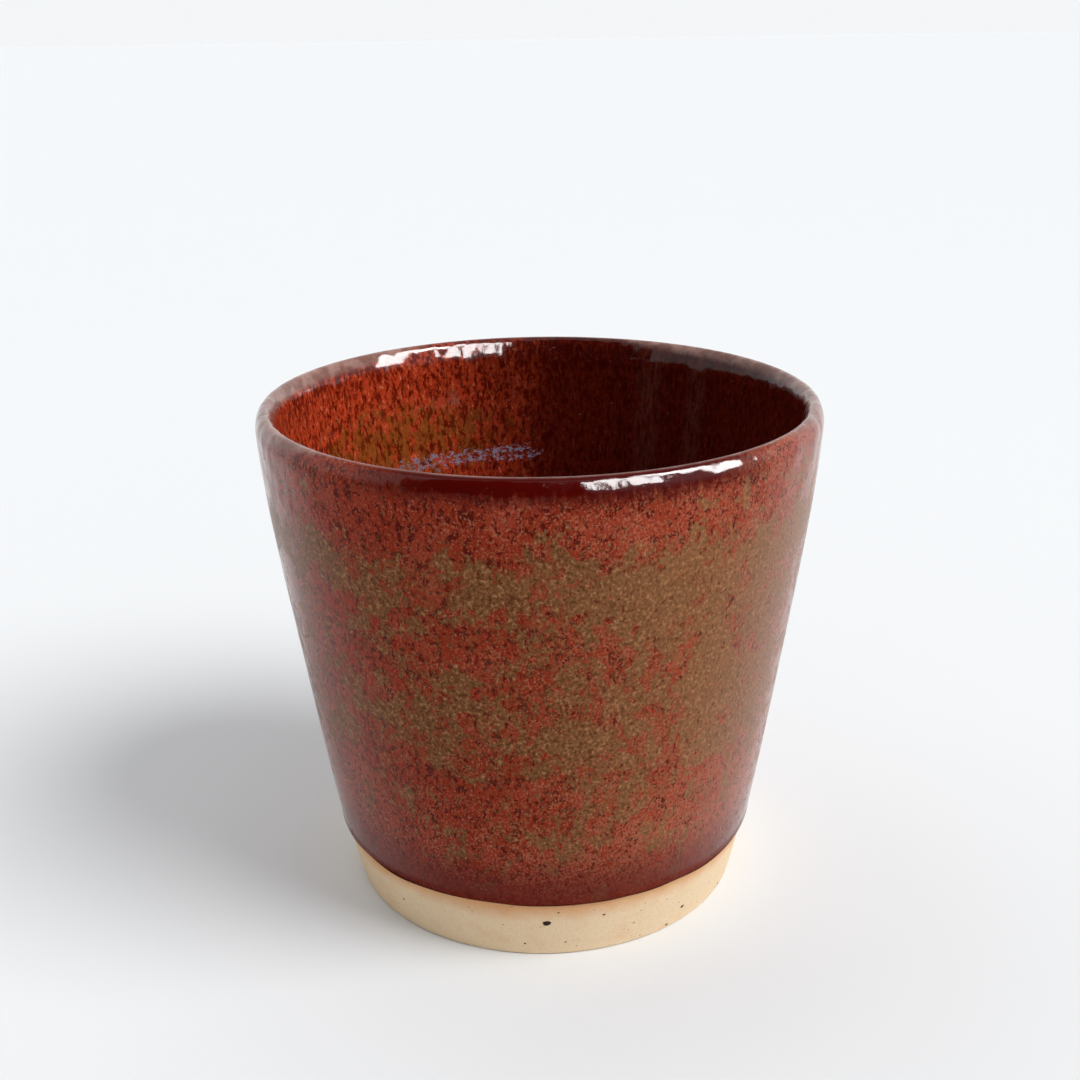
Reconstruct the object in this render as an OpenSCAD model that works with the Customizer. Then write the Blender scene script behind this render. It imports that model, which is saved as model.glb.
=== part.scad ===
// Wheel-thrown stoneware tumbler with no handle.
// A clay body with a bare foot, a dipped glaze coat outside, a poured glaze liner inside,
// and a second dip over the lip. Millimetres, +Z up.
// The origin is the centre of the ring that the cup stands on.

/* [Outline] */
// Widest diameter, at the lip, glaze included
rim_d = 92; // [74:1:120]
// Height from the table to the top of the lip
cup_h = 84.8; // [60:0.2:120]
// Diameter of the clay foot at the table, before its edge is eased
foot_d = 67.3; // [50:0.1:86]
// How far the side swells outside a straight taper
belly = 1.1; // [0:0.1:3]

/* [Wall and floor] */
// Thickness across the lip, glaze included
lip_t = 3.4; // [2.4:0.1:5]
// Thickness of the clay wall where it rises from the floor
wall_low_t = 4.2; // [3:0.1:7]
// Thickness of the clay floor over the hollow in the foot
floor_t = 5; // [3:0.1:9]
// Radius of the inside corner between the clay floor and the wall
corner_r = 9; // [4:0.5:16]

/* [Foot] */
// Width of the ring that touches the table
foot_ring_w = 7; // [4:0.5:14]
// Depth of the hollow turned under the foot
hollow_h = 1.2; // [0.4:0.1:2.4]
// Size of the eased outer edge of the foot
foot_ease = 0.5; // [0.2:0.1:1.2]

/* [Glaze] */
// Height of the glaze line over the table
glaze_line_h = 11; // [6:0.5:20]
// Thickness of the outer coat at its lower edge, if it had no roll
coat_low_t = 0.45; // [0.3:0.05:0.8]
// Thickness of the glaze on the lip, where it runs thin
coat_lip_t = 0.3; // [0.15:0.05:0.6]
// Thickness of the liner on the floor
liner_t = 0.5; // [0.3:0.05:0.9]
// How far the rolled lower edge stands out past the coat
roll_t = 0.15; // [0.05:0.05:0.4]
// How high the roll reaches over the glaze line
roll_h = 2; // [1.4:0.1:4]
// How far the second dip reaches down from the top of the lip
dip_h = 12; // [6:0.5:24]

/* [Iron specks] */
// Diameter of the largest iron speck on the bare foot
speck_d = 1.4; // [0.8:0.1:2.4]
// Depth of the specks under the surface of the clay
speck_depth = 0.4; // [0.2:0.1:1]
// How far the specks stand out of the clay
speck_proud = 0.05; // [0.02:0.01:0.15]
// Number of further specks round the sides and the back
scatter_count = 12; // [1:1:20]

/* [Hidden] */

// Smoothness of the turned shapes, and of the small specks
$fn = 96;
speck_fn = 24;

// The side's swelling is flat along the middle and fades at the foot and the lip
belly_fullness_share = 4;

// The lip is a round bead, and side_h is the height of its centre
lip_r = lip_t / 2;
side_h = cup_h - lip_r;
lip_x = rim_d / 2 - lip_r;
clay_lip_r = lip_r - coat_lip_t;
clay_rim_r = rim_d / 2 - coat_lip_t;
foot_r = foot_d / 2;
dip_z = cup_h - dip_h;

// Floor, inside corner, and the hollow in the foot
floor_z = hollow_h + floor_t;
lean = atan((clay_rim_r - foot_r) / side_h);
corner_top_z = floor_z + corner_r * (1 - sin(lean));
corner_x = clay_in_r(corner_top_z) - corner_r * cos(lean);
ring_in_r = foot_r - foot_ring_w;

// The rolled lower edge of the outer coat
roll_r = coat_low_t + roll_t;
roll_top_z = glaze_line_h + roll_h;

// Heights of the stations along the outline, from the bottom up
foot_heights = heights(foot_ease, glaze_line_h, 3);
coat_heights = heights(glaze_line_h, dip_z, 10);
dip_heights = heights(dip_z, side_h, 3);
wall_heights = heights(corner_top_z, dip_z, 9);

// Angle steps round the inside corner, the lip and the roll
corner_steps = 6;
lip_turn = 22.5;
roll_turn = 30;

// Iron specks seen on the front of the foot: turn from the front in degrees, height as a share
// of the bare band, and diameter as a share of the largest
front_speck_shares = [
    [0, 0.66, 1],
    [3, 0.87, 0.4],
    [15, 0.72, 0.45],
    [5, 0.2, 0.4],
    [-6, 0.17, 0.42],
    [-43, 0.46, 0.45],
    [41, 0.26, 0.6],
    [36, 0, 0.5],
    [24, 0.37, 0.32]
];
// The rest are spread by a steady turn from scatter_from, with heights and sizes that step
// through these shares
scatter_from = 62;
scatter_turn = 236 / scatter_count;
scatter_height_share = 0.618;
scatter_size_shares = [0.5, 0.35, 0.7, 0.42];
// A speck's back and its outer face, as shares of its diameter
speck_back_share = 0.6;
speck_face_share = 0.7;
speck_lean = atan((clay_r(glaze_line_h) - foot_r) / glaze_line_h);

// Outside of the clay at height z
function clay_r(z) =
    foot_r + (clay_rim_r - foot_r) * z / side_h
    + belly * (1 - pow(abs(2 * z / side_h - 1), belly_fullness_share));

// A thickness at height z that runs evenly from low, at z0, to lip, at the centre of the lip
function run_t(z, z0, low, lip) = lip + (low - lip) * (side_h - z) / (side_h - z0);

// Inside of the clay, outside of the coat and inside of the liner at height z
function clay_in_r(z) = clay_r(z) - run_t(z, floor_z, wall_low_t, 2 * clay_lip_r);
function coat_r(z) = clay_r(z) + run_t(z, glaze_line_h, coat_low_t, coat_lip_t);
function liner_r(z) = clay_in_r(z) - run_t(z, corner_top_z, liner_t, coat_lip_t);

// Evenly spaced heights from a to b, both included
function heights(a, b, steps) = [for (i = [0 : steps]) a + (b - a) * i / steps];
function all_but_first(items) = [for (i = [1 : len(items) - 1]) items[i]];
function reversed(items) = [for (i = [len(items) - 1 : -1 : 0]) items[i]];

// The same four surfaces as points at a list of heights
function clay_side(zs) = [for (z = zs) [clay_r(z), z]];
function clay_wall(zs) = [for (z = zs) [clay_in_r(z), z]];
function coat_side(zs) = [for (z = zs) [coat_r(z), z]];
function liner_wall(zs) = [for (z = zs) [liner_r(z), z]];

// Inside corner from the floor up to the wall, at radius r round the corner's centre
function corner_points(r) = [
    for (i = [0 : corner_steps])
        let (a = -90 + (90 - lean) * i / corner_steps)
            [corner_x + r * cos(a), floor_z + corner_r + r * sin(a)]
];

// The bead of the lip from the outside over the top, without its two ends
function lip_points(r) = [
    for (a = [lip_turn : lip_turn : 180 - lip_turn]) [lip_x + r * cos(a), side_h + r * sin(a)]
];

// The roll from near the clay out to its widest
function roll_points() = [
    for (a = [roll_turn : roll_turn : 90])
        let (z = glaze_line_h + roll_r * (1 - cos(a))) [clay_r(z) + roll_r * sin(a), z]
];

// The clay's whole section, with no seats for the specks
module clay_section() {
    polygon(concat(
        [[0, hollow_h], [ring_in_r - hollow_h, hollow_h], [ring_in_r, 0]],
        [[clay_r(foot_ease) - foot_ease, 0]],
        clay_side(foot_heights),
        clay_side(all_but_first(coat_heights)),
        clay_side(all_but_first(dip_heights)),
        lip_points(clay_lip_r),
        reversed(clay_wall(dip_heights)),
        reversed(clay_wall([for (z = wall_heights) if (z < dip_z) z])),
        all_but_first(reversed(corner_points(corner_r))),
        [[0, floor_z]]
    ));
}

// One speck: a flat bead with a rounded outer face, its axis along +Z, widest at z = 0
module speck(d) {
    rotate_extrude($fn = speck_fn) polygon([
        [0, -speck_depth],
        [speck_back_share * d / 2, -speck_depth],
        [d / 2, 0],
        [speck_face_share * d / 2, speck_proud],
        [0, speck_proud]
    ]);
}

// Turn, height share and diameter share of each speck round the sides and the back
function scatter_shares() = [
    for (i = [0 : scatter_count - 1])
        [
            scatter_from + i * scatter_turn,
            i * scatter_height_share - floor(i * scatter_height_share),
            scatter_size_shares[i % len(scatter_size_shares)]
        ]
];

module all_specks() {
    for (s = concat(front_speck_shares, scatter_shares())) {
        d = speck_d * s[2];
        z = foot_ease + d / 2 + s[1] * (glaze_line_h - foot_ease - d);
        rotate([0, 0, s[0] - 90])
            translate([clay_r(z), 0, z])
                rotate([0, 90 + speck_lean, 0])
                    speck(d);
    }
}

// Thrown wall, floor and foot, fired in one piece, with a seat for each speck
module clay_body() {
    color([0.85, 0.72, 0.53]) difference() {
        rotate_extrude() clay_section();
        all_specks();
    }
}

// Glaze poured inside, from the floor up to the second dip
module liner_glaze() {
    color([0.45, 0.12, 0.07]) rotate_extrude() polygon(concat(
        [[0, floor_z]],
        corner_points(corner_r),
        clay_wall(all_but_first(wall_heights)),
        reversed(liner_wall(all_but_first(wall_heights))),
        reversed(corner_points(corner_r - liner_t)),
        [[0, floor_z + liner_t]]
    ));
}

// Dipped coat outside, from its rolled edge at the glaze line up to the second dip
module outer_glaze() {
    color([0.47, 0.21, 0.16]) rotate_extrude() polygon(concat(
        reversed(clay_side(coat_heights)),
        roll_points(),
        coat_side([roll_top_z]),
        coat_side([for (z = coat_heights) if (z > roll_top_z) z])
    ));
}

// Second dip: one coat over the lip and down both sides
module rim_glaze() {
    color([0.42, 0.25, 0.2]) rotate_extrude() polygon(concat(
        coat_side(dip_heights),
        lip_points(lip_r),
        reversed(liner_wall(dip_heights)),
        clay_wall(dip_heights),
        reversed(lip_points(clay_lip_r)),
        reversed(clay_side(dip_heights))
    ));
}

// Iron grains that melted through the bare clay, each in its own seat
module iron_specks() {
    color([0.2, 0.1, 0.06]) all_specks();
}

clay_body();
liner_glaze();
outer_glaze();
rim_glaze();
iron_specks();
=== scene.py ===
"""Turned stoneware tumbler with dipped glaze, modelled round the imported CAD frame.

Lengths are in metres. +Z is up, the cup stands on z = 0, and -Y is the side that faces the camera.
A turn round the cup is in degrees from that front, and grows towards +X.
"""

import math

import bpy
from bpy.props import FloatProperty, FloatVectorProperty, IntProperty, PointerProperty
from mathutils import Color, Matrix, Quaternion, Vector


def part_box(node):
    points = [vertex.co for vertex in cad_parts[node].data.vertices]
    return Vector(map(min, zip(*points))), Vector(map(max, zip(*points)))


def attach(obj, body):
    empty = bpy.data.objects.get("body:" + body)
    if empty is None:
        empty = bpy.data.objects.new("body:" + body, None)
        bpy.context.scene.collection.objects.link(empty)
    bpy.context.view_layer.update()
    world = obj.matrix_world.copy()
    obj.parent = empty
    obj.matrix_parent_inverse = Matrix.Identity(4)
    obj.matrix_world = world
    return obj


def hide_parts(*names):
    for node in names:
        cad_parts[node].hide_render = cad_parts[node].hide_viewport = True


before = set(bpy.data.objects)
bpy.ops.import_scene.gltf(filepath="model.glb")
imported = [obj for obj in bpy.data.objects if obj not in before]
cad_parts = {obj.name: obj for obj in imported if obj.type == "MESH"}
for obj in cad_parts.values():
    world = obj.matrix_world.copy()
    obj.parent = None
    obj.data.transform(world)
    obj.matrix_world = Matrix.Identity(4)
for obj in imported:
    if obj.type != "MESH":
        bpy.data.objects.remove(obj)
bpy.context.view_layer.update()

bl_info = {
    "name": "Stoneware Tumbler",
    "version": (1, 0, 0),
    "blender": (4, 5, 0),
    "location": "3D Viewport > Sidebar > Tumbler",
    "description": "Throws and glazes a stoneware tumbler round its CAD frame",
    "category": "Add Mesh",
}

MM = 0.001

# The side's swelling is even along its middle, and fades at the foot and the lip by this power
BELLY_POWER = 4
# Points closer together than this are merged into one
SAME_POINT = 0.001 * MM
# Edges that fold by more than this many degrees stay sharp
SHARP_EDGE = 40
SHARP_GRAIN_EDGE = 60
# Steps along the curves that two pieces share, so that their surfaces meet point for point
CLAY_LIP_OUTSIDE = 8
CLAY_LIP_INSIDE = 10
CLAY_CORNER = 8
# How high the outer coat's rolled lower edge reaches, and how deep the coat's back is in the clay
ROLL_HEIGHT = 2 * MM
COAT_BITE = 0.1 * MM
# The glaze line wavers in waves of this length. The waver starts at this height over the line,
# and grows over this depth down to its full strength
WAVE_LENGTH = 14 * MM
WAVER_START = 8 * MM
WAVER_GROWTH = 6 * MM
# An iron grain's height and thickness, and the size and strength of its bumps, for a width of 1
GRAIN_HEIGHT = 0.8
GRAIN_THICKNESS = 0.5
GRAIN_BUMP_SIZE = 0.5
GRAIN_BUMP_STRENGTH = 0.14

# Turns round the cup of the places where the looks change, painted light and shade among them
FRONT = 5
# The side that is painted lighter, as the window lights it
PAINTED_LIGHT_SIDE = 62
KHAKI_SIDE = 50
# Sides of the lip whose taupe is partly a painted sheen
LIP_LEFT = -98
LIP_RIGHT = 108
# The liner's side that is painted in shade
SHADED_SIDE = 105
# Turns of the painted reflection streaks inside
WIDE_STREAK = 150
THIN_STREAK = 136
FLECK_ARC = -159
# The lamps stand this far from a point on the cup's axis at this height, and face it
LAMP_DISTANCE = 1.2
LAMP_AIM = 0.05
# The dark card's distance from the cup's axis, and the height of its middle
CARD_DISTANCE = 0.7
CARD_MIDDLE = 0.8
FLOOR_SIZE = 40
# Window panes that the gloss shows: turn and angle over the table in degrees, then width and
# height in metres
PANES = (
    (23, 34, 0.14, 0.9),
    (40, 34, 0.30, 0.95),
    (61, 52, 0.22, 0.4),
    (77, 34, 0.36, 0.95),
)
# How much the walls and the lip mirror, where 0.5 is a plain varnish, and what a flat angle adds
GLOSS = 0.05
LIP_GLOSS = 0.27
EDGE_GLOSS = 0.4
# Height over the table in millimetres, and how densely the khaki crystals lie there
KHAKI_COVER = (
    (0, 0),
    (17, 0.1),
    (25, 0.3),
    (33, 0.4),
    (43, 0.58),
    (57, 0.44),
    (64, 0.52),
    (68, 0.78),
    (71, 0.62),
    (75, 0.22),
    (80, 0.0),
    (100, 0),
)
KHAKI_TOP = KHAKI_COVER[-1][0]
# Places outside where khaki crystals gather: turn, height over the table, and how far they reach
# beside and over it, in millimetres
KHAKI_GATHERED = (
    (-9, 68.5, 9, 4),
    (13, 66.5, 8, 5),
    (22, 63, 7, 7),
    (-32, 66, 8, 5),
    (-25, 46, 9, 8),
    (6, 44, 8, 6),
    (40, 52, 14, 18),
)
# Places outside that stay red, in the same way
KHAKI_BARE = (
    (-12, 58, 8, 6),
    (12, 57, 9, 4),
    (-5, 33, 10, 5),
)
# The olive patch inside, in the same way, and the heights that the arc of flecks lies between
OLIVE_PATCH = (-138, 67, 34, 11)
FLECK_HEIGHTS = (61.0, 64.5)
# Noises in the materials: width in millimetres, detail, roughness, height over width, and seed
NOISES = {
    "lip edge": (1.6, 4, 0.6, 1, 3),
    "lip grey": (3, 4, 0.6, 0.6, 6),
    "red specks": (0.32, 2, 0.6, 1.3, 2),
    "red clouds": (6, 3, 0.6, 1.2, 4),
    "pits": (0.75, 3, 0.7, 1.5, 3),
    "pit groups": (2.4, 4, 0.65, 1.5, 1),
    "pinkish specks": (0.35, 3, 0.6, 1.3, 8),
    "pinkish clouds": (4, 3, 0.6, 1, 15),
    "khaki clouds": (6, 2, 0.5, 1.2, 2),
    "khaki patches": (2.4, 6, 0.72, 1.3, 12),
    "khaki edges": (0.6, 3, 0.65, 1.3, 5),
    "thin khaki": (0.9, 5, 0.72, 1.3, 51),
    "khaki crystals": (0.5, 3, 0.65, 1.1, 9),
    "khaki gaps": (0.7, 3, 0.7, 1.5, 19),
    "plum edge": (1.5, 3, 0.6, 1, 7),
    "maroon runs": (1, 4, 0.65, 4, 17),
    "outer waves": (1.6, 4, 0.6, 1, 11),
    "lip waves": (1.4, 4, 0.6, 1, 11),
    "liner specks": (0.6, 3, 0.65, 1.8, 21),
    "liner runs": (0.9, 4, 0.7, 2.4, 22),
    "liner olive": (1.4, 6, 0.75, 2, 23),
    "liner flecks": (1.1, 5, 0.75, 0.6, 24),
    "liner polish": (3, 3, 0.5, 1, 25),
    "liner waves": (4.5, 1, 0.5, 1.3, 26),
    "shade clouds": (9, 3, 0.5, 3, 27),
    "shade runs": (1.2, 4, 0.7, 5, 28),
    "streak gaps": (0.8, 4, 0.7, 5, 29),
    "clay tone": (6, 4, 0.6, 0.6, 31),
    "flush edge": (5, 3, 0.6, 1, 32),
    "turning lines": (0.9, 3, 0.6, 0.12, 33),
    "clay tooth": (0.45, 4, 0.7, 1, 34),
    "clay flush": (0.5, 4, 0.7, 0.4, 35),
    "clay rust": (0.35, 3, 0.7, 1, 36),
    "iron": (0.25, 3, 0.6, 1, 41),
}
# How far each axis of a noise moves for a seed of 1
SEED_STEPS = (1, 1.7, 0.6)


def length_property(name, description, default):
    return FloatProperty(
        name=name, description=description, default=default, min=0, precision=5, unit="LENGTH"
    )


def number_property(name, description, default):
    return FloatProperty(name=name, description=description, default=default, min=0)


def angle_property(name, description, degrees):
    return FloatProperty(
        name=name, description=description, default=math.radians(degrees), subtype="ANGLE"
    )


def colour_property(name, description, red, green, blue):
    """A colour as a picture shows it, each channel from 0 to 255."""
    return FloatVectorProperty(
        name=name,
        description=description,
        default=(red / 255, green / 255, blue / 255),
        size=3,
        min=0,
        max=1,
        subtype="COLOR_GAMMA",
    )


class TumblerSizes(bpy.types.PropertyGroup):
    """The sizes of the turned shapes. The rim and the main heights come from the frame."""

    rim_radius: length_property(
        "Rim radius", "Half the widest width, at the lip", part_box("rim_glaze")[1].x
    )
    cup_height: length_property(
        "Height", "From the table to the top of the lip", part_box("rim_glaze")[1].z
    )
    foot_radius: length_property(
        "Foot radius", "Half the clay foot's width at the table", 33.65 * MM
    )
    belly: length_property("Belly", "How far the side swells outside a straight taper", 1.1 * MM)
    lip_thickness: length_property("Lip thickness", "Across the lip, glaze included", 3.4 * MM)
    lip_rise: length_property("Lip, outside", "Height of the lip's outer curve", 3.2 * MM)
    lip_fall: length_property("Lip, inside", "Height of the lip's gentle inner curve", 4 * MM)
    wall_thickness: length_property("Wall thickness", "Clay wall above the floor", 4.2 * MM)
    floor_height: length_property(
        "Floor height", "Top of the clay floor over the table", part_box("liner_glaze")[0].z
    )
    corner_radius: length_property("Corner radius", "Inside corner of the clay", 9 * MM)
    foot_ring: length_property("Foot ring", "Width of the ring that the cup stands on", 7 * MM)
    hollow_height: length_property("Hollow", "Depth of the hollow under the foot", 1.2 * MM)
    foot_ease: length_property("Foot ease", "Eased outer edge of the foot", 0.5 * MM)
    glaze_line: length_property(
        "Glaze line", "Lower edge of the outer coat over the table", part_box("outer_glaze")[0].z
    )
    dip_line: length_property(
        "Second dip", "Lower edge of the second dip over the table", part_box("rim_glaze")[0].z
    )
    coat_low: length_property("Coat, low", "Thickness of the outer coat low down", 0.45 * MM)
    coat_lip: length_property("Coat, lip", "Thickness of the glaze on the lip", 0.3 * MM)
    liner: length_property("Liner", "Thickness of the liner on the floor", 0.5 * MM)
    roll: length_property(
        "Roll", "How far the rolled lower edge stands out past the coat", 0.15 * MM
    )
    line_waver: length_property(
        "Line waver", "Most that the glaze line can differ in height round the cup", 1.0 * MM
    )
    turns: IntProperty(
        name="Turning steps", description="Steps round the cup", default=320, min=32, max=720
    )


class GlazeColours(bpy.types.PropertyGroup):
    """The colours of the glazes and of the clay."""

    red: colour_property("Red", "Iron red of the outer coat", 127, 38, 15)
    dark_red: colour_property("Dark red", "Dark pits and runs in the red", 68, 6, 1)
    # Light red also paints the light on the window side of the red
    light_red: colour_property("Light red", "Fine light specks in the red", 158, 70, 50)
    pale: colour_property("Pale specks", "Pinkish crystals in the outer coat", 168, 106, 80)
    khaki: colour_property("Khaki", "Matt khaki crystals", 114, 75, 43)
    khaki_dark: colour_property("Dark khaki", "Fine dark grain in the khaki", 76, 50, 22)
    # Light khaki also paints the light on the window side of the khaki
    khaki_light: colour_property("Light khaki", "Fine light grain in the khaki", 160, 115, 79)
    plum: colour_property("Plum", "Thick glaze low on the side", 90, 26, 20)
    edge: colour_property("Edge", "Dark lower edge of the outer coat", 50, 18, 12)
    # Maroon is partly a painted dark reflection, which the gloss band under the lip shows at the
    # front
    maroon: colour_property("Maroon", "Glossy band under the lip", 70, 5, 2)
    # The lip colour, and lip grey below it, also paint the sheen on the lip's two sides
    lip: colour_property("Lip", "Where the glaze breaks over the lip", 120, 82, 72)
    lip_grey: colour_property("Lip grey", "Greyish breaks on the lip", 152, 118, 108)
    inner_red: colour_property("Inner red", "Iron red of the liner", 172, 58, 30)
    inner_dark: colour_property("Inner dark", "Dark runs in the liner", 74, 8, 2)
    inner_light: colour_property("Inner light", "Fine light specks in the liner", 200, 112, 78)
    # Inner shade is partly painted shade, on the side of the liner that lies in shadow
    inner_painted_shade: colour_property("Inner shade", "Thick maroon glaze on the liner's right", 48, 4, 2)
    olive: colour_property("Olive", "Golden olive patch in the liner", 116, 70, 24)
    blue: colour_property("Blue grey", "Flecks in the liner", 122, 126, 146)
    clay: colour_property("Clay", "Bare fired clay", 231, 206, 170)
    flush: colour_property("Flush", "Orange flush beside the glaze line", 216, 152, 96)
    speck: colour_property("Iron speck", "Melted iron grains", 46, 22, 14)
    rust: colour_property("Rust", "Edge of a melted iron grain", 122, 74, 40)


class StageSettings(bpy.types.PropertyGroup):
    """The camera, the floor and the light."""

    camera_back: length_property(
        "Camera back", "Camera's distance in front of the cup's axis", 218.49 * MM
    )
    camera_side: FloatProperty(
        name="Camera side",
        description="Camera's distance to the right of the cup's axis",
        default=-0.2 * MM,
        unit="LENGTH",
    )
    camera_up: length_property("Camera up", "Camera's height over the table", 141.02 * MM)
    camera_pitch: angle_property("Camera pitch", "How far the camera looks down", 20.514)
    camera_roll: angle_property("Camera roll", "Turn of the camera on its axis", -0.849)
    camera_lens: FloatProperty(
        name="Lens", description="Focal length on a 36 mm sensor", default=45.65, unit="CAMERA"
    )
    floor_colour: colour_property("Floor", "Pale floor", 221, 223, 224)
    backdrop_colour: colour_property(
        "Backdrop", "Background, as bright as the lit floor", 244, 246, 248
    )
    room_colour: colour_property("Room", "Dim room as lit surfaces see it", 240, 241, 244)
    room_light: number_property("Room light", "Strength of the dim room's light", 0.5)
    window_turn: number_property("Window turn", "Window's middle, in degrees from the front", 67)
    window_up: number_property("Window up", "Window's middle, in degrees over the table", 45)
    window_width: angle_property("Window width", "How wide the window looks from the cup", 34)
    window_light: number_property("Window light", "Strength of the window's light", 2.65)
    fill_turn: number_property("Wall turn", "Pale wall's middle, in degrees from the front", 205)
    fill_up: number_property("Wall up", "Pale wall's middle, in degrees over the table", 40)
    fill_width: angle_property("Wall width", "How wide the pale wall looks from the cup", 100)
    fill_light: number_property("Wall light", "Strength of the light off the pale wall", 1.1)
    pane_light: number_property("Pane light", "Power of a square metre of window pane", 120)
    card_turn: number_property("Card turn", "Dark card's middle, in degrees left of the front", 19)
    card_width: length_property("Card width", "Width of the dark card behind the camera", 1.0)
    card_height: length_property("Card height", "Height of the dark card behind the camera", 1.8)


# Sections of the cup, as radii at a height

def lip_centre(s):
    """Radius and height of the centre of the frame's round lip, where the side's taper ends."""
    return s.rim_radius - s.lip_thickness / 2, s.cup_height - s.lip_thickness / 2


def clay_outside(s, z):
    side = lip_centre(s)[1]
    taper = (s.rim_radius - s.coat_lip - s.foot_radius) * z / side
    return s.foot_radius + taper + s.belly * (1 - abs(2 * z / side - 1) ** BELLY_POWER)


def run(s, z, start, low, lip):
    """A thickness that goes evenly from low, at the start height, to lip, at the lip's centre."""
    side = lip_centre(s)[1]
    return lip + (low - lip) * (side - z) / (side - start)


def clay_inside(s, z):
    lip_clay = s.lip_thickness - 2 * s.coat_lip
    return clay_outside(s, z) - run(s, z, s.floor_height, s.wall_thickness, lip_clay)


def coat_outside(s, z):
    return clay_outside(s, z) + run(s, z, s.glaze_line, s.coat_low, s.coat_lip)


def side_lean(s):
    return math.atan((s.rim_radius - s.coat_lip - s.foot_radius) / lip_centre(s)[1])


def corner_top(s):
    return s.floor_height + s.corner_radius * (1 - math.sin(side_lean(s)))


def liner_inside(s, z):
    return clay_inside(s, z) - run(s, z, corner_top(s), s.liner, s.coat_lip)


def steps(a, b, count):
    """Values from a to b, both included, in this many even steps."""
    return [a + (b - a) * i / count for i in range(count + 1)]


def wall_points(section, s, heights):
    return [(section(s, z), z) for z in heights]


def arc_points(centre, radius, angles):
    return [(centre[0] + radius * math.cos(a), centre[1] + radius * math.sin(a)) for a in angles]


def lip_edge(s, wall, fall, depth, count):
    """Rounds a wall over to the crest of the lip, from just over the rounding's foot up.

    The rounding's foot is fall under the top of the lip, and the crest is depth under it.
    """
    top = s.cup_height
    crest_r = (coat_outside(s, top) + liner_inside(s, top)) / 2
    foot = top - fall
    across = crest_r - wall(s, top - depth)
    points = []
    for a in steps(0, math.pi / 2, count)[1:]:
        z = foot + (fall - depth) * math.sin(a)
        points.append((wall(s, z) + across * (1 - math.cos(a)), z))
    return points


def corner_points(s, radius, count):
    """Inside corner from the floor up to the wall."""
    lean = side_lean(s)
    centre_r = clay_inside(s, corner_top(s)) - s.corner_radius * math.cos(lean)
    centre = (centre_r, s.floor_height + s.corner_radius)
    return arc_points(centre, radius, steps(-math.pi / 2, -lean, count))


# Modelling

def deselect_all():
    if bpy.context.object and bpy.context.object.mode != "OBJECT":
        bpy.ops.object.mode_set(mode="OBJECT")
    bpy.ops.object.select_all(action="DESELECT")


def throw(name, outline, turns):
    """Draws the outline point by point, as (radius, height), and turns it into a closed piece.

    It is spun through a quarter turn and mirrored twice, which is quicker than a full spin.
    """
    deselect_all()
    bpy.ops.mesh.primitive_plane_add(size=MM, location=(0, 0, 0))
    piece = bpy.context.object
    piece.name = name
    piece.data.name = name
    bpy.ops.object.mode_set(mode="EDIT")
    bpy.ops.mesh.merge(type="CENTER")
    r, z = outline[0]
    bpy.ops.transform.translate(value=(r, 0, z))
    for next_r, next_z in outline[1:]:
        step = (next_r - r, 0, next_z - z)
        bpy.ops.mesh.extrude_region_move(TRANSFORM_OT_translate={"value": step})
        r, z = next_r, next_z
    bpy.ops.mesh.select_all(action="SELECT")
    bpy.ops.mesh.spin(steps=turns // 4, angle=math.pi / 2, center=(0, 0, 0), axis=(0, 0, 1))
    bpy.ops.object.mode_set(mode="OBJECT")
    mirror = piece.modifiers.new("other quarters", "MIRROR")
    mirror.use_axis = (True, True, False)
    mirror.merge_threshold = SAME_POINT
    bpy.ops.object.modifier_apply(modifier=mirror.name)
    bpy.ops.object.mode_set(mode="EDIT")
    bpy.ops.mesh.select_all(action="SELECT")
    bpy.ops.mesh.remove_doubles(threshold=SAME_POINT)
    bpy.ops.mesh.normals_make_consistent(inside=False)
    bpy.ops.object.mode_set(mode="OBJECT")
    return piece


def weigh(piece, name, share):
    """Gives each point a weight from its height."""
    group = piece.vertex_groups.new(name=name)
    for point in piece.data.vertices:
        weight = share(point.co.z)
        if weight > 0:
            group.add([point.index], min(weight, 1), "REPLACE")


def waver(piece, name, direction, size, depth, group=""):
    """Moves the points unevenly, in waves about as long as size, by up to half of depth either way.

    Where a group is named, its weights are each point's share of the movement.
    """
    cloud = bpy.data.textures.new(name, "CLOUDS")
    cloud.noise_scale = size
    cloud.noise_depth = 1
    change = piece.modifiers.new(name, "DISPLACE")
    change.texture = cloud
    change.texture_coords = "LOCAL"
    change.direction = direction
    change.strength = depth
    change.vertex_group = group
    bpy.context.view_layer.objects.active = piece
    bpy.ops.object.modifier_apply(modifier=name)


def finish_piece(piece, smooth_angle, material, node):
    """Smooths the piece, gives it its material and puts it in the place of its CAD node."""
    deselect_all()
    piece.select_set(True)
    bpy.context.view_layer.objects.active = piece
    bpy.ops.object.shade_smooth_by_angle(angle=math.radians(smooth_angle))
    piece.data.materials.clear()
    piece.data.materials.append(material)
    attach(piece, "root")
    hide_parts(node)


# Materials

def linear(colour):
    """A picture colour as the shader wants it."""
    channels = [c / 12.92 if c <= 0.04045 else ((c + 0.055) / 1.055) ** 2.4 for c in colour]
    return (*channels, 1)


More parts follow.
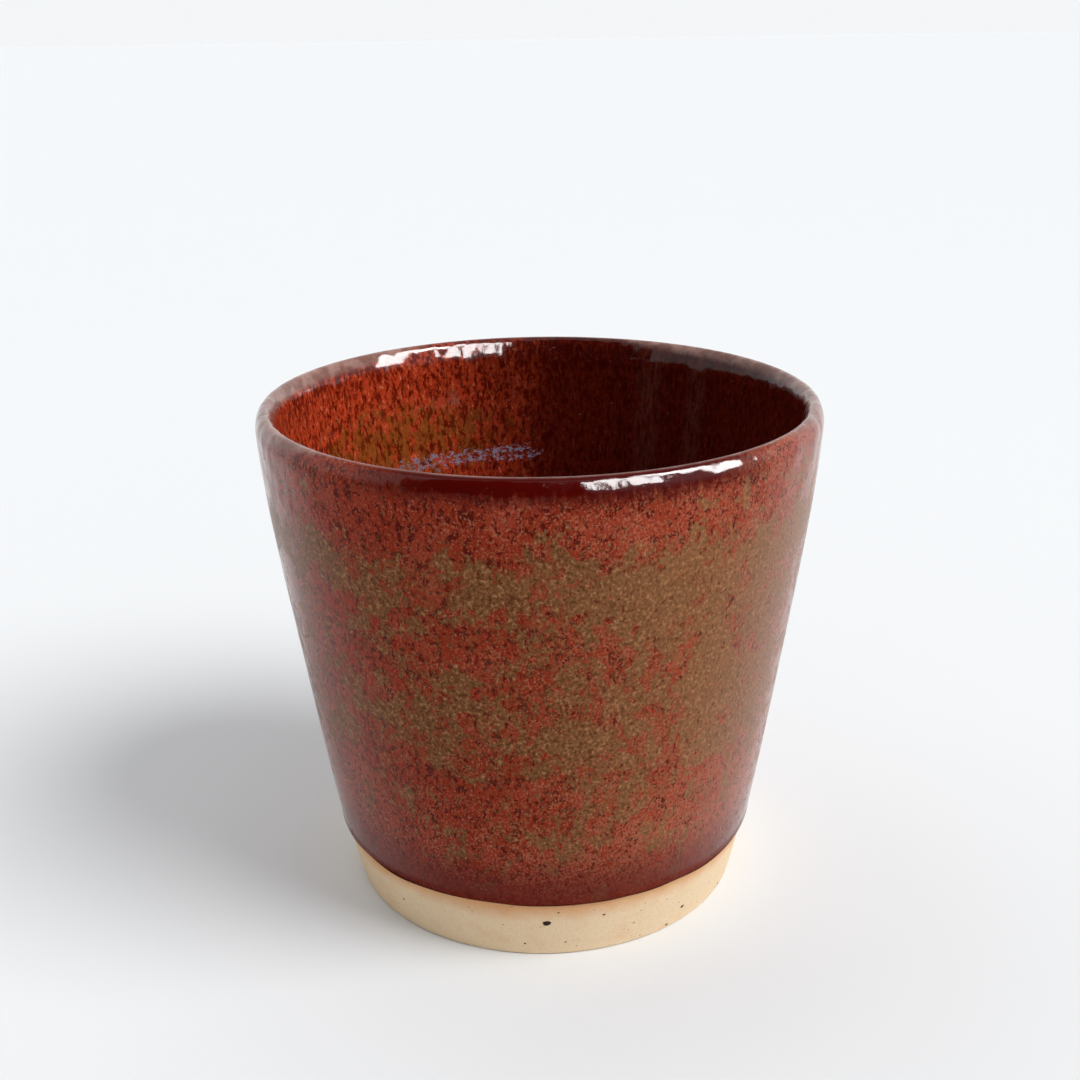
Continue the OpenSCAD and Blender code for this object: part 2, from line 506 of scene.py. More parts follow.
class Recipe:
    """A material's nodes, with short ways to add the layers that a glaze is made of.

    Its places, radii and heights are in millimetres of the object's own space.
    """

    def __init__(self, name):
        self.material = bpy.data.materials.new(name)
        self.material.use_nodes = True
        self.tree = self.material.node_tree
        self.shader = self.tree.nodes["Principled BSDF"]
        place = self.tree.nodes.new("ShaderNodeTexCoord").outputs["Object"]
        self.place = self.stretched(place, (1 / MM, 1 / MM, 1 / MM))
        parts = self.tree.nodes.new("ShaderNodeSeparateXYZ")
        self.join(self.place, parts.inputs[0])
        self.x, self.y, self.z = parts.outputs
        across = self.maths("ADD", self.squared(self.x), self.squared(self.y))
        self.radius = self.maths("SQRT", across)

    def join(self, value, socket):
        """Links a value to a socket, or sets the socket where the value is a number or a colour."""
        if isinstance(value, Color):
            socket.default_value = linear(value)
        elif isinstance(value, (int, float, tuple)):
            socket.default_value = value
        else:
            self.tree.links.new(value, socket)

    def stretched(self, place, scale, start=(0, 0, 0)):
        """The place, scaled and then moved by start."""
        node = self.tree.nodes.new("ShaderNodeMapping")
        self.join(place, node.inputs["Vector"])
        node.inputs["Location"].default_value = start
        node.inputs["Scale"].default_value = scale
        return node.outputs[0]

    def maths(self, operation, a, b=0.0):
        node = self.tree.nodes.new("ShaderNodeMath")
        node.operation = operation
        self.join(a, node.inputs[0])
        self.join(b, node.inputs[1])
        return node.outputs[0]

    def squared(self, value):
        return self.maths("MULTIPLY", value, value)

    def total(self, *parts):
        """Adds up (value, share) pairs, each value times its share."""
        whole = None
        for value, share in parts:
            part = self.maths("MULTIPLY", value, share)
            whole = part if whole is None else self.maths("ADD", whole, part)
        return whole

    def facing(self, turn):
        """From 1 on the side of the cup at this turn to -1 on the opposite side."""
        a = math.radians(turn)
        along = self.total((self.x, math.sin(a)), (self.y, -math.cos(a)))
        return self.maths("DIVIDE", along, self.radius)

    def spot(self, turn, height, wide, tall):
        """1 at a place on the cup's side, and down to 0 at wide beside it and at tall over it."""
        # The squared chord between two turns is 2 - 2 * facing, for a radius of 1
        chord_squared = self.maths("SUBTRACT", 2.0, self.maths("MULTIPLY", self.facing(turn), 2.0))
        radius_squared = self.squared(self.maths("DIVIDE", self.radius, wide))
        beside = self.maths("MULTIPLY", chord_squared, radius_squared)
        over = self.squared(self.maths("DIVIDE", self.maths("SUBTRACT", self.z, height), tall))
        return self.rise(self.maths("ADD", beside, over), 1.0, 0.0)

    def spots(self, places):
        """Several spots at once."""
        whole = None
        for place in places:
            one = self.spot(*place)
            whole = one if whole is None else self.maths("MAXIMUM", whole, one)
        return whole

    def noise(self, name):
        """The noise of this name in the table, with values spread about 0.5."""
        size, detail, rough, fall, seed = NOISES[name]
        node = self.tree.nodes.new("ShaderNodeTexNoise")
        scale = (1 / size, 1 / size, 1 / (size * fall))
        start = tuple(seed * step for step in SEED_STEPS)
        self.join(self.stretched(self.place, scale, start), node.inputs["Vector"])
        node.inputs["Scale"].default_value = 1
        node.inputs["Detail"].default_value = detail
        node.inputs["Roughness"].default_value = rough
        return node.outputs[0]

    def dots(self, spacing, low, high, seed):
        """Round dots scattered about this many millimetres apart: 1 within low, 0 past high."""
        node = self.tree.nodes.new("ShaderNodeTexVoronoi")
        scale = (1 / spacing, 1 / spacing, 1 / spacing)
        self.join(self.stretched(self.place, scale, (seed, seed, seed)), node.inputs["Vector"])
        node.inputs["Scale"].default_value = 1
        return self.rise(node.outputs["Distance"], high / spacing, low / spacing)

    def rise(self, value, low, high):
        """0 up to low, 1 from high on, and smooth between them. It falls if low is over high."""
        node = self.tree.nodes.new("ShaderNodeMapRange")
        node.interpolation_type = "SMOOTHSTEP"
        self.join(value, node.inputs["Value"])
        self.join(low, node.inputs["From Min"])
        self.join(high, node.inputs["From Max"])
        return node.outputs[0]

    def band(self, value, low, high, soft):
        """1 between low and high, and 0 outside them."""
        above = self.rise(value, low - soft, low + soft)
        below = self.rise(value, high + soft, high - soft)
        return self.maths("MULTIPLY", above, below)

    def curve(self, value, points):
        """A result read off a line through points of (value, result), both from 0 to 1."""
        node = self.tree.nodes.new("ShaderNodeFloatCurve")
        line = node.mapping.curves[0]
        line.points[0].location = points[0]
        line.points[1].location = points[-1]
        for x, y in points[1:-1]:
            line.points.new(x, y)
        node.mapping.update()
        self.join(value, node.inputs["Value"])
        return node.outputs[0]

    def over(self, under, colour, mask, share=1.0):
        """Lays a colour over another where the mask says so."""
        node = self.tree.nodes.new("ShaderNodeMix")
        node.data_type = "RGBA"
        self.join(mask if share == 1.0 else self.maths("MULTIPLY", mask, share), node.inputs[0])
        self.join(under, node.inputs[6])
        self.join(colour, node.inputs[7])
        return node.outputs[2]

    def gloss(self, mask, low, high, level, edge_level=0, fade=None):
        """Roughness from low to high as the mask goes from 0 to 1, and the level of mirroring.

        Seen at a flat angle, a glaze mirrors more, by edge_level. The whole is scaled by fade.
        """
        node = self.tree.nodes.new("ShaderNodeMapRange")
        self.join(mask, node.inputs["Value"])
        node.inputs["To Min"].default_value = low
        node.inputs["To Max"].default_value = high
        self.join(node.outputs[0], self.shader.inputs["Roughness"])
        if edge_level:
            weight = self.tree.nodes.new("ShaderNodeLayerWeight")
            edge = self.rise(weight.outputs["Facing"], 0.3, 0.9)
            level = self.total((edge, edge_level), (level, 1.0))
        if fade is not None:
            level = self.maths("MULTIPLY", level, fade)
        self.join(level, self.shader.inputs["Specular IOR Level"])

    def relief(self, *layers):
        """Bumps from (height, depth in millimetres) pairs, one laid over the other."""
        normal = None
        for height, depth in layers:
            node = self.tree.nodes.new("ShaderNodeBump")
            node.inputs["Strength"].default_value = 1
            node.inputs["Distance"].default_value = depth * MM
            self.join(height, node.inputs["Height"])
            if normal is not None:
                self.join(normal, node.inputs["Normal"])
            normal = node.outputs[0]
        self.join(normal, self.shader.inputs["Normal"])


def lip_break_and_sheen(r, c, s, colour):
    """The taupe where the glaze runs thin over the lip, and a painted sheen that lays most of it on
    the two sides.
    """
    top = s.cup_height / MM
    left = r.rise(r.facing(LIP_LEFT), 0.45, 0.9)
    right = r.rise(r.facing(LIP_RIGHT), 0.45, 0.9)
    uneven = r.total((r.z, 1.0), (r.noise("lip edge"), 1.2), (left, 2.5), (right, 1.9))
    taupe = r.over(c.lip, c.lip_grey, r.rise(r.noise("lip grey"), 0.4, 0.65))
    # The crest is lighter all the way round, where the glaze runs thin, and partly as a painted
    # highlight
    thin_crest_and_highlight = r.maths("MULTIPLY", r.rise(r.z, top - 0.15, top), 0.5)
    mask = r.maths("MAXIMUM", r.rise(uneven, top + 0.6, top + 1.9), thin_crest_and_highlight)
    return r.over(colour, taupe, mask, 0.9)


def mottle(r, c, painted_window_light):
    """The red ground, with fine light specks, pale clouds, dark pits that lie in groups, and
    painted light on the side that faces the window.
    """
    colour = r.over(c.red, c.light_red, r.rise(r.noise("red specks"), 0.5, 0.68), 0.7)
    colour = r.over(colour, c.light_red, r.rise(r.noise("red clouds"), 0.45, 0.7), 0.35)
    # Painted light on the side that faces the window
    colour = r.over(colour, c.light_red, painted_window_light, 0.35)
    pits = r.total((r.noise("pits"), 1.0), (r.noise("pit groups"), -0.35))
    return r.over(colour, c.dark_red, r.rise(pits, 0.335, 0.41), 0.86)


def dipped_layers(r, c, s):
    """The glaze outside: its colour, and the mask of its matt khaki crystals."""
    # Painted light: the red and the khaki are painted a little paler on the side that faces the
    # window
    painted_window_light = r.rise(r.facing(PAINTED_LIGHT_SIDE), 0.45, 0.95)
    colour = mottle(r, c, painted_window_light)
    # Pinkish crystals, most of them low on the side and on the right
    low = r.rise(r.z, 36, 20)
    right = r.rise(r.facing(KHAKI_SIDE), 0.3, 1.0)
    pinkish = r.total(
        (r.noise("pinkish specks"), 1.0),
        (r.noise("pinkish clouds"), 0.25),
        (low, 0.05),
        (right, 0.07),
    )
    colour = r.over(colour, c.pale, r.rise(pinkish, 0.7, 0.78), 0.55)
    # Khaki crystals, most of them in a band under the second dip and round the right side
    shares = [(z / KHAKI_TOP, share) for z, share in KHAKI_COVER]
    cover = r.curve(r.maths("DIVIDE", r.z, KHAKI_TOP), shares)
    patches = r.total(
        (r.noise("khaki clouds"), 0.5),
        (r.noise("khaki patches"), 1.0),
        (r.noise("khaki edges"), 0.35),
        (cover, 0.24),
        (right, 0.06),
        (r.spots(KHAKI_GATHERED), 0.07),
        (r.spots(KHAKI_BARE), -0.07),
    )
    solid = r.rise(patches, 1.055, 1.11)
    thin = r.total((r.noise("thin khaki"), 1.0), (cover, 0.2), (right, 0.05))
    thin = r.maths("MULTIPLY", r.rise(thin, 0.58, 0.7), 0.42)
    khaki_mask = r.maths("MAXIMUM", solid, thin)
    crystal = r.noise("khaki crystals")
    khaki = r.over(c.khaki_dark, c.khaki, r.rise(crystal, 0.36, 0.5))
    khaki = r.over(khaki, c.khaki_light, r.rise(crystal, 0.52, 0.68))
    # Painted light on the khaki's window side
    khaki = r.over(khaki, c.khaki_light, painted_window_light, 0.25)
    khaki = r.over(khaki, c.dark_red, r.rise(r.noise("khaki gaps"), 0.58, 0.66), 0.7)
    colour = r.over(colour, khaki, khaki_mask, 0.9)
    # Plum and the dark edge at the glaze line
    line = s.glaze_line / MM
    ragged = r.total((r.z, 1.0), (r.noise("plum edge"), 4.0))
    colour = r.over(colour, c.plum, r.rise(ragged, line + 15, line + 3), 0.8)
    colour = r.over(colour, c.edge, r.rise(r.z, line + 0.8, line + 0.2))
    # Maroon that runs down from the lip, kept to the front, where it also paints the dark
    # reflection in the gloss band there; and taupe where the glaze breaks over the lip, with a
    # painted sheen at its sides
    top = s.cup_height / MM
    runs = r.total((r.z, 1.0), (r.noise("maroon runs"), 5.0))
    front = r.rise(r.facing(FRONT), 0.7, 0.93)
    runs = r.maths("MULTIPLY", r.rise(runs, top - 2.6, top + 0.8), front)
    colour = r.over(colour, c.maroon, runs)
    return lip_break_and_sheen(r, c, s, colour), khaki_mask


def poured_layers(r, c):
    """The glaze inside: bright red with dark runs, an olive patch and blue-grey flecks."""
    specks = r.noise("liner specks")
    colour = r.over(c.inner_dark, c.inner_red, r.rise(specks, 0.32, 0.5))
    colour = r.over(colour, c.inner_light, r.rise(specks, 0.56, 0.72))
    # The olive patch, and the dark runs, which thin out lower down
    olive = r.total((r.noise("liner olive"), 1.0), (r.spot(*OLIVE_PATCH), 0.18))
    colour = r.over(colour, c.olive, r.rise(olive, 0.58, 0.7), 0.75)
    runs = r.total((r.noise("liner runs"), 1.0), (r.rise(r.z, 86, 76), -0.06))
    colour = r.over(colour, c.inner_dark, r.rise(runs, 0.44, 0.52), 0.8)
    # Near-black maroon on the liner's right, the side away from the window: partly darker glaze,
    # partly painted shade
    shade = r.total(
        (r.facing(SHADED_SIDE), 1.0),
        (r.noise("shade clouds"), 0.6),
        (r.noise("shade runs"), 0.5),
    )
    colour = r.over(colour, c.inner_painted_shade, r.rise(shade, 0.15, 0.95), 0.88)
    # Two faint pale streaks down the wall, painted reflections
    wide_streak = r.rise(r.facing(WIDE_STREAK), 0.997, 0.9995)
    thin_streak = r.rise(r.facing(THIN_STREAK), 0.998, 0.9998)
    painted_reflection_streaks = r.maths("MAXIMUM", wide_streak, thin_streak)
    broken = r.rise(r.noise("streak gaps"), 0.35, 0.65)
    # Painted reflection: the lip colour laid faintly on the streaks
    colour = r.over(colour, c.lip, r.maths("MULTIPLY", painted_reflection_streaks, broken), 0.2)
    # Blue-grey flecks, most of them in an arc at the back
    arc = r.band(r.z, *FLECK_HEIGHTS, soft=1)
    arc = r.maths("MULTIPLY", arc, r.rise(r.facing(FLECK_ARC), 0.89, 0.97))
    flecks = r.total((r.noise("liner flecks"), 1.0), (arc, 0.17))
    colour = r.over(colour, c.blue, r.rise(flecks, 0.66, 0.74), 0.8)
    return colour


def outer_glaze_material(c, s):
    r = Recipe("dipped iron-red glaze")
    colour, khaki_mask = dipped_layers(r, c, s)
    r.join(colour, r.shader.inputs["Base Color"])
    # The rolled lower edge mirrors nothing, so that it stays dark
    line = s.glaze_line / MM
    above_roll = r.rise(r.z, line + 0.3, line + 1.8)
    r.gloss(khaki_mask, low=0.13, high=0.36, level=GLOSS, edge_level=EDGE_GLOSS, fade=above_roll)
    r.relief((r.noise("outer waves"), 0.04), (khaki_mask, 0.015))
    return r.material


def liner_material(c):
    r = Recipe("poured iron-red glaze")
    r.join(poured_layers(r, c), r.shader.inputs["Base Color"])
    polish = r.noise("liner polish")
    r.gloss(polish, low=0.08, high=0.2, level=GLOSS, edge_level=EDGE_GLOSS)
    r.relief((r.noise("liner waves"), 0.4))
    return r.material


def rim_material(c, s):
    r = Recipe("second dip of iron-red glaze")
    outside, khaki_mask = dipped_layers(r, c, s)
    inside = lip_break_and_sheen(r, c, s, poured_layers(r, c))
    # The lip's crest divides the outside from the inside, along the wall's own slope
    crest = lip_centre(s)[0] / MM
    rise_to_top = r.maths("SUBTRACT", r.z, s.cup_height / MM)
    depth = r.total((rise_to_top, math.tan(side_lean(s))), (r.radius, -1.0))
    inner_mask = r.rise(depth, -0.2 - crest, 0.3 - crest)
    r.join(r.over(outside, inside, inner_mask), r.shader.inputs["Base Color"])
    # The glassy lip mirrors the windows more than the walls do
    top = s.cup_height / MM
    glassy = r.maths("MULTIPLY", inner_mask, r.rise(r.z, top - 4.8, top - 3.6))
    glassy = r.maths("MAXIMUM", glassy, r.rise(r.z, top - 2.4, top - 1.4))
    level = r.total((glassy, LIP_GLOSS - GLOSS), (1.0, GLOSS))
    # At the front, the lip's crest mirrors less
    front = r.rise(r.facing(FRONT), 0.5, 0.85)
    front_crest = r.maths("MULTIPLY", r.rise(r.z, top - 0.45, top - 0.25), front)
    fade = r.total((front_crest, -0.75), (1.0, 1.0))
    r.gloss(khaki_mask, low=0.08, high=0.3, level=level, edge_level=EDGE_GLOSS, fade=fade)
    r.relief((r.noise("liner waves"), 0.4), (r.noise("lip waves"), 0.03))
    return r.material


def clay_material(c, s):
    r = Recipe("bare stoneware clay")
    tone = r.noise("clay tone")
    colour = r.over(c.clay, c.flush, r.rise(tone, 0.5, 0.8), 0.35)
    colour = r.over(colour, c.flush, r.rise(r.noise("clay flush"), 0.5, 0.75), 0.6)
    colour = r.over(colour, c.rust, r.rise(r.noise("clay rust"), 0.66, 0.74), 0.35)
    # The flush beside the glaze line, and pin-sized iron dots
    line = s.glaze_line / MM
    near = r.total((r.z, 1.0), (r.noise("flush edge"), 3.0))
    colour = r.over(colour, c.flush, r.rise(near, line - 2.4, line + 1.5), 0.85)
    colour = r.over(colour, c.rust, r.dots(spacing=1.8, low=0.09, high=0.16, seed=3), 0.8)
    r.join(colour, r.shader.inputs["Base Color"])
    r.gloss(tone, low=0.6, high=0.8, level=0.2)
    r.relief((r.noise("turning lines"), 0.12), (r.noise("clay tooth"), 0.12))
    return r.material


def speck_material(c):
    r = Recipe("melted iron speck")
    grain = r.noise("iron")
    r.join(r.over(c.speck, c.rust, r.rise(grain, 0.6, 0.8)), r.shader.inputs["Base Color"])
    r.gloss(grain, low=0.4, high=0.6, level=0.1)
    r.relief((grain, 0.01))
    return r.material


# Pieces

class TUMBLER_OT_clay_body(bpy.types.Operator):
    """Throw the clay wall, floor and foot"""

    bl_idname = "tumbler.clay_body"
    bl_label = "Clay Body"
    bl_options = {"REGISTER", "UNDO"}

    def execute(self, context):
        s = context.scene.tumbler_sizes
        ring_inside = s.foot_radius - s.foot_ring
        ease = s.foot_ease
        foot_edge = clay_outside(s, ease)
        outer_foot = s.cup_height - s.lip_rise
        inner_foot = s.cup_height - s.lip_fall
        # One point part of the way up eases the side of the hollow
        hollow_edge = (ring_inside - 0.4 * s.hollow_height, 0.7 * s.hollow_height)
        outline = [(r, s.hollow_height) for r in steps(0, ring_inside - s.hollow_height, 14)]
        outline += [hollow_edge]
        outline += [(r, 0) for r in steps(ring_inside, foot_edge - ease, 5)[:-1]]
        outline += arc_points((foot_edge - ease, ease), ease, steps(-math.pi / 2, 0, 6))
        outline += wall_points(clay_outside, s, steps(ease, s.glaze_line, 30)[1:])
        outline += wall_points(clay_outside, s, steps(s.glaze_line, outer_foot, 60)[1:])
        outline += lip_edge(s, clay_outside, s.lip_rise, s.coat_lip, CLAY_LIP_OUTSIDE)
        outline += lip_edge(s, clay_inside, s.lip_fall, s.coat_lip, CLAY_LIP_INSIDE)[-2::-1]
        outline += wall_points(clay_inside, s, steps(inner_foot, corner_top(s), 50))
        outline += corner_points(s, s.corner_radius, CLAY_CORNER)[::-1][1:]
        outline += [(r, s.floor_height) for r in steps(outline[-1][0], 0, 8)[1:]]
        piece = throw("thrown_clay_body", outline, s.turns)
        material = clay_material(context.scene.tumbler_colours, s)
        finish_piece(piece, SHARP_EDGE, material, "clay_body")
        return {"FINISHED"}


class TUMBLER_OT_liner_glaze(bpy.types.Operator):
    """Pour the glaze inside"""

    bl_idname = "tumbler.liner_glaze"
    bl_label = "Liner Glaze"
    bl_options = {"REGISTER", "UNDO"}

    def execute(self, context):
        s = context.scene.tumbler_sizes
        face_corner = corner_points(s, s.corner_radius - s.liner, 16)
        back_corner = corner_points(s, s.corner_radius, CLAY_CORNER)
        outline = [(r, s.floor_height) for r in steps(0, back_corner[0][0], 6)[:-1]]
        outline += back_corner
        outline += wall_points(clay_inside, s, steps(corner_top(s), s.dip_line, 20)[1:])
        outline += wall_points(liner_inside, s, steps(s.dip_line, corner_top(s), 74))
        outline += face_corner[::-1][1:]
        outline += [(r, s.floor_height + s.liner) for r in steps(face_corner[0][0], 0, 24)[1:]]
        piece = throw("poured_liner_glaze", outline, s.turns)
        material = liner_material(context.scene.tumbler_colours)
        finish_piece(piece, SHARP_EDGE, material, "liner_glaze")
        return {"FINISHED"}


class TUMBLER_OT_outer_glaze(bpy.types.Operator):
    """Dip the outside down to the glaze line"""

    bl_idname = "tumbler.outer_glaze"
    bl_label = "Outer Glaze"
    bl_options = {"REGISTER", "UNDO"}

    def execute(self, context):
        s = context.scene.tumbler_sizes
        line = s.glaze_line
        bead = s.coat_low + s.roll
        roll_top = line + ROLL_HEIGHT
        back = wall_points(clay_outside, s, steps(s.dip_line, line, 30))
        outline = [(r - COAT_BITE, z) for r, z in back]
        for a in steps(0, math.pi / 2, 8)[1:]:
            z = line + bead * (1 - math.cos(a))
            outline.append((clay_outside(s, z) + bead * math.sin(a), z))
        for z in steps(line + bead, roll_top, 6)[1:]:
            share = (roll_top - z) / (roll_top - line - bead)
            outline.append((coat_outside(s, z) + s.roll * (1 - math.cos(math.pi * share)) / 2, z))
        outline += wall_points(coat_outside, s, steps(roll_top, s.dip_line, 76)[1:])
        outline.append(outline[0])
        piece = throw("dipped_outer_glaze", outline, s.turns)
        weigh(piece, "near the line", lambda z: (line + WAVER_START - z) / WAVER_GROWTH)
        waver(piece, "uneven line", "Z", WAVE_LENGTH, s.line_waver, "near the line")
        material = outer_glaze_material(context.scene.tumbler_colours, s)
        finish_piece(piece, SHARP_EDGE, material, "outer_glaze")
        return {"FINISHED"}


class TUMBLER_OT_rim_glaze(bpy.types.Operator):
    """Dip the lip a second time"""

    bl_idname = "tumbler.rim_glaze"
    bl_label = "Rim Glaze"
    bl_options = {"REGISTER", "UNDO"}

    def execute(self, context):
        s = context.scene.tumbler_sizes
        outer_foot = s.cup_height - s.lip_rise
        inner_foot = s.cup_height - s.lip_fall
        outline = wall_points(coat_outside, s, steps(s.dip_line, outer_foot, 14))
        outline += lip_edge(s, coat_outside, s.lip_rise, 0, 20)
        outline += lip_edge(s, liner_inside, s.lip_fall, 0, 24)[-2::-1]
        outline += wall_points(liner_inside, s, steps(inner_foot, s.dip_line, 10))
        outline += wall_points(clay_inside, s, steps(s.dip_line, inner_foot, 6))
        outline += lip_edge(s, clay_inside, s.lip_fall, s.coat_lip, CLAY_LIP_INSIDE)
        outline += lip_edge(s, clay_outside, s.lip_rise, s.coat_lip, CLAY_LIP_OUTSIDE)[-2::-1]
        outline += wall_points(clay_outside, s, steps(outer_foot, s.dip_line, 6))
        outline.append(outline[0])
        piece = throw("second_dip_rim_glaze", outline, s.turns)
        material = rim_material(context.scene.tumbler_colours, s)
        finish_piece(piece, SHARP_EDGE, material, "rim_glaze")
        return {"FINISHED"}


def speck_places():
    """Centre and diameter of each grain of the frame's iron_specks node.

    They are read off a merged copy of the node, which is cut into its loose parts.
    """
    deselect_all()
    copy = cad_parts["iron_specks"].copy()
    copy.data = copy.data.copy()
    copy.parent = None
    bpy.context.collection.objects.link(copy)
    copy.select_set(True)
    bpy.context.view_layer.objects.active = copy
    bpy.ops.object.mode_set(mode="EDIT")
    bpy.ops.mesh.select_all(action="SELECT")
    bpy.ops.mesh.remove_doubles(threshold=SAME_POINT)
    bpy.ops.mesh.separate(type="LOOSE")
    bpy.ops.object.mode_set(mode="OBJECT")
    places = []
    for part in list(bpy.context.selected_objects):
        points = [v.co for v in part.data.vertices]
        centre = sum(points[1:], points[0].copy()) / len(points)
        places.append((centre, 2 * max((p - centre).length for p in points)))
        bpy.data.objects.remove(part)
    if not places:
        raise RuntimeError("the frame's iron_specks node has no grains")
    # In the same order each run
    places.sort(key=lambda place: (round(place[0].x, 6), round(place[0].y, 6)))
    return places


def set_grain(grain, centre, size):
    """Copies the grain into its seat, with its thin direction out of the clay."""
    copy = grain.copy()
    copy.data = grain.data.copy()
    bpy.context.collection.objects.link(copy)
    copy.rotation_mode = "QUATERNION"
    copy.rotation_quaternion = Vector((centre.x, centre.y, 0)).to_track_quat("Z", "Y")
    copy.scale = (size, size * GRAIN_HEIGHT, size)
    copy.location = centre
    return copy


class TUMBLER_OT_iron_specks(bpy.types.Operator):
    """Set a melted grain in the clay at each speck of the frame"""

    bl_idname = "tumbler.iron_specks"
    bl_label = "Iron Specks"
    bl_options = {"REGISTER", "UNDO"}

    def execute(self, context):
        places = speck_places()
        deselect_all()
        bpy.ops.mesh.primitive_ico_sphere_add(subdivisions=3, radius=0.5)
        grain = bpy.context.object
        bpy.ops.object.mode_set(mode="EDIT")
        bpy.ops.mesh.select_all(action="SELECT")
        bpy.ops.transform.resize(value=(1, 1, GRAIN_THICKNESS))
        bpy.ops.object.mode_set(mode="OBJECT")
        waver(grain, "uneven grain", "NORMAL", GRAIN_BUMP_SIZE, GRAIN_BUMP_STRENGTH)
        copies = [set_grain(grain, centre, size) for centre, size in places]
        bpy.data.objects.remove(grain)
        deselect_all()
        for copy in copies:
            copy.select_set(True)
        bpy.context.view_layer.objects.active = copies[0]
        bpy.ops.object.join()
        piece = bpy.context.object
        piece.name = "melted_iron_specks"
        piece.data.name = piece.name
        bpy.ops.object.transform_apply(location=True, rotation=True, scale=True)
        material = speck_material(context.scene.tumbler_colours)
        finish_piece(piece, SHARP_GRAIN_EDGE, material, "iron_specks")
        return {"FINISHED"}


# Stage

def add_lamp(name, kind, turn, up):
    """A lamp that faces the cup from this turn and this angle over the table, in degrees."""
    deselect_all()
    a = math.radians(turn)
    e = math.radians(up)
    along = LAMP_DISTANCE * math.cos(e)
    height = LAMP_AIM + LAMP_DISTANCE * math.sin(e)
    place = Vector((along * math.sin(a), -along * math.cos(a), height))
    bpy.ops.object.light_add(type=kind, location=place)
    lamp = bpy.context.object
    lamp.name = name
    lamp.rotation_mode = "QUATERNION"
    lamp.rotation_quaternion = (Vector((0, 0, LAMP_AIM)) - place).to_track_quat("-Z", "Y")
    return lamp


def add_lamps(g):
    """Soft light from the window and off a pale wall, and the panes that only the gloss shows."""
    window = add_lamp("window light", "SUN", g.window_turn, g.window_up)
    window.data.angle = g.window_width
    window.data.energy = g.window_light
    window.visible_glossy = False
    wall = add_lamp("light off the wall", "SUN", g.fill_turn, g.fill_up)
    wall.data.angle = g.fill_width
    wall.data.energy = g.fill_light
    wall.visible_glossy = False
    for number, (turn, up, wide, tall) in enumerate(PANES, 1):
        pane = add_lamp("window pane %d" % number, "AREA", turn, up)
        pane.data.shape = "RECTANGLE"
        pane.data.size = wide
        pane.data.size_y = tall
        pane.data.energy = g.pane_light * wide * tall
        pane.visible_diffuse = False
        pane.visible_camera = False


def add_floor(g):
    deselect_all()
    bpy.ops.mesh.primitive_plane_add(size=FLOOR_SIZE, location=(0, 0, 0))
    floor = bpy.context.object
    floor.name = "floor"
    r = Recipe("pale floor")
    r.join(g.floor_colour, r.shader.inputs["Base Color"])
    r.shader.inputs["Roughness"].default_value = 0.9
    r.shader.inputs["Specular IOR Level"].default_value = 0.1
    floor.data.materials.append(r.material)


def add_dark_card(g):
    """A dark card behind the camera, which only the gloss shows."""
    deselect_all()
    turn = math.radians(-g.card_turn)
    place = (CARD_DISTANCE * math.sin(turn), -CARD_DISTANCE * math.cos(turn), CARD_MIDDLE)
    bpy.ops.mesh.primitive_plane_add(size=1, location=place)
    card = bpy.context.object
    card.name = "dark card"
    bpy.ops.object.mode_set(mode="EDIT")
    bpy.ops.mesh.select_all(action="SELECT")
    bpy.ops.transform.resize(value=(g.card_width, g.card_height, 1))
    bpy.ops.object.mode_set(mode="OBJECT")
    card.rotation_euler = (math.pi / 2, 0, turn)
    r = Recipe("dark card")
    r.shader.inputs["Base Color"].default_value = (0.01, 0.01, 0.01, 1)
    r.shader.inputs["Roughness"].default_value = 1
    r.shader.inputs["Specular IOR Level"].default_value = 0
    card.data.materials.append(r.material)
    card.visible_camera = False
    card.visible_diffuse = False
    card.visible_shadow = False


def set_room(scene, g):
    """A pale room behind the cup and in its gloss, and a dimmer one as the light on it."""
    world = bpy.data.worlds.new("room")
    scene.world = world
    world.use_nodes = True
    tree = world.node_tree
    dim = tree.nodes["Background"]
    dim.inputs["Color"].default_value = linear(g.room_colour)
    dim.inputs["Strength"].default_value = g.room_light
    pale = tree.nodes.new("ShaderNodeBackground")
    pale.inputs["Color"].default_value = linear(g.backdrop_colour)
    pale.inputs["Strength"].default_value = 1
    path = tree.nodes.new("ShaderNodeLightPath")
    mask = path.outputs["Is Camera Ray"]
    for ray in ("Is Glossy Ray", "Is Transmission Ray"):
        either = tree.nodes.new("ShaderNodeMath")
        either.operation = "MAXIMUM"
        tree.links.new(mask, either.inputs[0])
        tree.links.new(path.outputs[ray], either.inputs[1])
        mask = either.outputs[0]
    mix = tree.nodes.new("ShaderNodeMixShader")
    tree.links.new(mask, mix.inputs[0])
    tree.links.new(dim.outputs[0], mix.inputs[1])
    tree.links.new(pale.outputs[0], mix.inputs[2])
    tree.links.new(mix.outputs[0], tree.nodes["World Output"].inputs["Surface"])


def add_camera(scene, g):
    deselect_all()
    bpy.ops.object.camera_add(location=(g.camera_side, -g.camera_back, g.camera_up))
    camera = bpy.context.object
    camera.data.sensor_width = 36
    camera.data.lens = g.camera_lens
    camera.data.clip_start = 0.01
    camera.data.clip_end = 100
    camera.rotation_mode = "QUATERNION"
    tilt = Quaternion((1, 0, 0), math.pi / 2 - g.camera_pitch)
    camera.rotation_quaternion = tilt @ Quaternion((0, 0, 1), g.camera_roll)
    scene.camera = camera


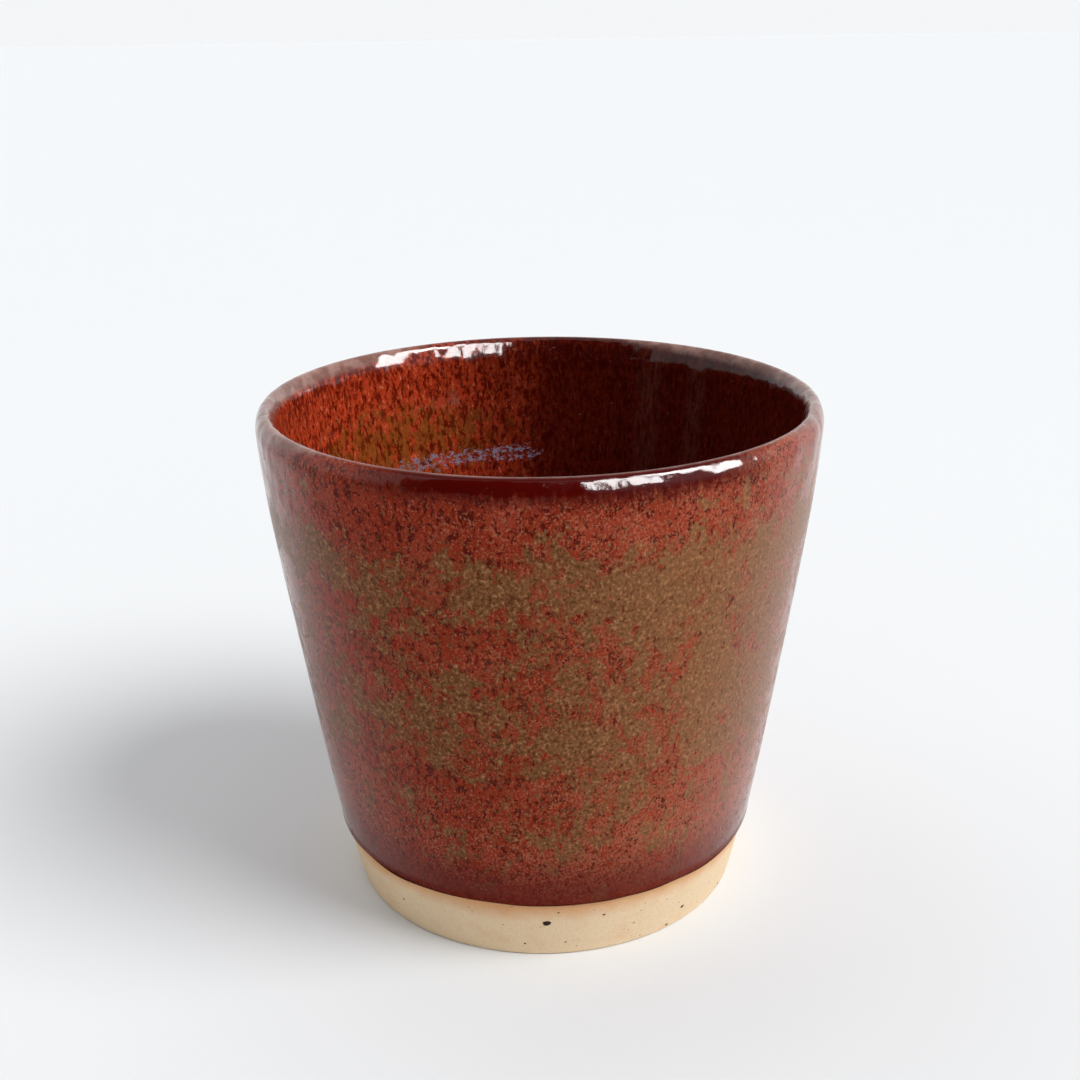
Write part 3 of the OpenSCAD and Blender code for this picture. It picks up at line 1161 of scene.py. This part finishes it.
class TUMBLER_OT_stage(bpy.types.Operator):
    """Lay the floor and set the camera, the lamps and the room"""

    bl_idname = "tumbler.stage"
    bl_label = "Stage"
    bl_options = {"REGISTER", "UNDO"}

    def execute(self, context):
        g = context.scene.tumbler_stage
        add_floor(g)
        add_dark_card(g)
        add_lamps(g)
        set_room(context.scene, g)
        add_camera(context.scene, g)
        context.scene.view_settings.view_transform = "Standard"
        return {"FINISHED"}


class TUMBLER_PT_panel(bpy.types.Panel):
    """Lists the pieces in the order in which they are made"""

    bl_label = "Stoneware Tumbler"
    bl_space_type = "VIEW_3D"
    bl_region_type = "UI"
    bl_category = "Tumbler"

    def draw(self, context):
        for operator in OPERATORS:
            self.layout.operator(operator.bl_idname)
        scene = context.scene
        for group in (scene.tumbler_sizes, scene.tumbler_colours, scene.tumbler_stage):
            box = self.layout.box()
            for name in group.__annotations__:
                box.prop(group, name)


OPERATORS = (
    TUMBLER_OT_clay_body,
    TUMBLER_OT_liner_glaze,
    TUMBLER_OT_outer_glaze,
    TUMBLER_OT_rim_glaze,
    TUMBLER_OT_iron_specks,
    TUMBLER_OT_stage,
)
CLASSES = (TumblerSizes, GlazeColours, StageSettings, *OPERATORS, TUMBLER_PT_panel)


def register():
    for cls in CLASSES:
        bpy.utils.register_class(cls)
    bpy.types.Scene.tumbler_sizes = PointerProperty(type=TumblerSizes)
    bpy.types.Scene.tumbler_colours = PointerProperty(type=GlazeColours)
    bpy.types.Scene.tumbler_stage = PointerProperty(type=StageSettings)


def unregister():
    del bpy.types.Scene.tumbler_stage
    del bpy.types.Scene.tumbler_colours
    del bpy.types.Scene.tumbler_sizes
    for cls in reversed(CLASSES):
        bpy.utils.unregister_class(cls)


def main():
    register()
    bpy.ops.tumbler.clay_body()
    bpy.ops.tumbler.liner_glaze()
    bpy.ops.tumbler.outer_glaze()
    bpy.ops.tumbler.rim_glaze()
    bpy.ops.tumbler.iron_specks()
    bpy.ops.tumbler.stage()


if __name__ == "__main__":
    main()
